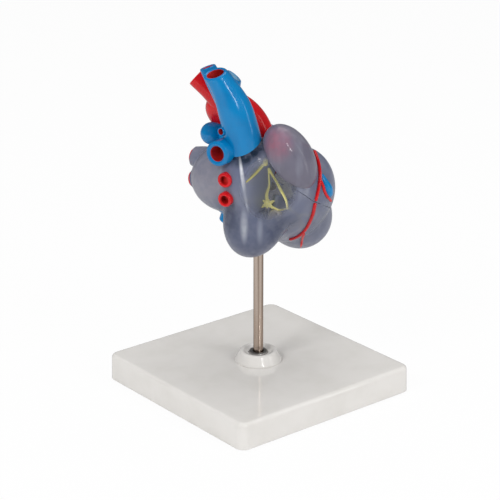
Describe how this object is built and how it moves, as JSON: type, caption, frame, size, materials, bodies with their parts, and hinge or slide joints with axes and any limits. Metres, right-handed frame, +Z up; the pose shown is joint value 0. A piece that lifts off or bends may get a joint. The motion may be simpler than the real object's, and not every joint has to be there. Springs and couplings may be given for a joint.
{
  "type": "human heart anatomy model",
  "caption": "Human heart model with a clear tinted wall, coloured great vessels and a yellow conducting system, on a steel rod with a square base; its front wall pulls off.",
  "frame": {"origin": "centre of the base's footprint on the surface that it stands on", "axes": "+Z up along the rod, -Y towards the edge of the base nearest the viewer, X along that edge"},
  "size_m": [0.12, 0.12, 0.1856],
  "materials": {
    "white_plastic": "smooth glossy white moulding",
    "foot_rubber": "matt dark rubber",
    "stand_steel": "drawn bright steel",
    "socket_plastic": "plain moulded sleeve",
    "heart_wall": "tinted clear plastic, polished, grey-violet",
    "artery_red": "glossy red paint",
    "vein_blue": "glossy blue paint",
    "nerve_yellow": "satin pale yellow paint",
    "valve_cream": "satin cream plastic",
    "magnet_nickel": "nickel plating"
  },
  "bodies": {
    "base": {"base_plate": "white_plastic", "rubber_foot_1": "foot_rubber", "rubber_foot_2": "foot_rubber", "rubber_foot_3": "foot_rubber", "rubber_foot_4": "foot_rubber", "rod_collar": "white_plastic", "collar_ferrule": "stand_steel"},
    "rod": {"stand_rod": "stand_steel", "rod_nut": "stand_steel", "rod_washer": "stand_steel"},
    "heart": {"rear_shell": "heart_wall", "ventricular_septum": "heart_wall", "rod_socket": "socket_plastic", "superior_vena_cava": "vein_blue", "aorta": "artery_red", "pulmonary_trunk": "vein_blue", "right_pulmonary_artery": "vein_blue", "right_upper_pulmonary_vein": "artery_red", "right_lower_pulmonary_vein": "artery_red", "left_upper_pulmonary_vein": "artery_red", "left_lower_pulmonary_vein": "artery_red", "inferior_vena_cava": "vein_blue", "left_auricle": "heart_wall", "tricuspid_valve": "valve_cream", "mitral_valve": "valve_cream", "sinus_node": "nerve_yellow", "atrioventricular_node": "nerve_yellow", "posterior_tract": "nerve_yellow", "middle_tract": "nerve_yellow", "anterior_tract": "nerve_yellow", "bundle_of_his": "nerve_yellow", "right_bundle_branch": "nerve_yellow", "left_bundle_branch": "nerve_yellow", "right_coronary_artery": "artery_red", "marginal_artery": "artery_red", "left_anterior_artery": "artery_red", "circumflex_artery": "artery_red", "great_cardiac_vein": "vein_blue", "coronary_sinus": "vein_blue", "rear_magnet_right": "magnet_nickel", "rear_magnet_left": "magnet_nickel", "locating_pin_right": "stand_steel", "locating_pin_left": "stand_steel"},
    "front": {"front_wall": "heart_wall", "right_auricle": "heart_wall", "front_right_coronary": "artery_red", "front_left_anterior": "artery_red", "front_great_vein": "vein_blue", "conus_artery": "artery_red", "anterior_cardiac_vein": "vein_blue", "front_magnet_right": "magnet_nickel", "front_magnet_left": "magnet_nickel"}
  },
  "joints": [
    {"name": "heart_turn", "type": "hinge", "parent": "base", "child": "rod", "pos_m": [0, 0, 0.05], "axis": [0, 0, 1], "continuous": true},
    {"name": "heart_lift", "type": "slide", "parent": "rod", "child": "heart", "axis": [0, 0, 1], "range_m": [0, 0.03]},
    {"name": "front_pull", "type": "slide", "parent": "heart", "child": "front", "axis": [0.8005, -0.585, 0.1302], "range_m": [0, 0.05]}
  ]
}
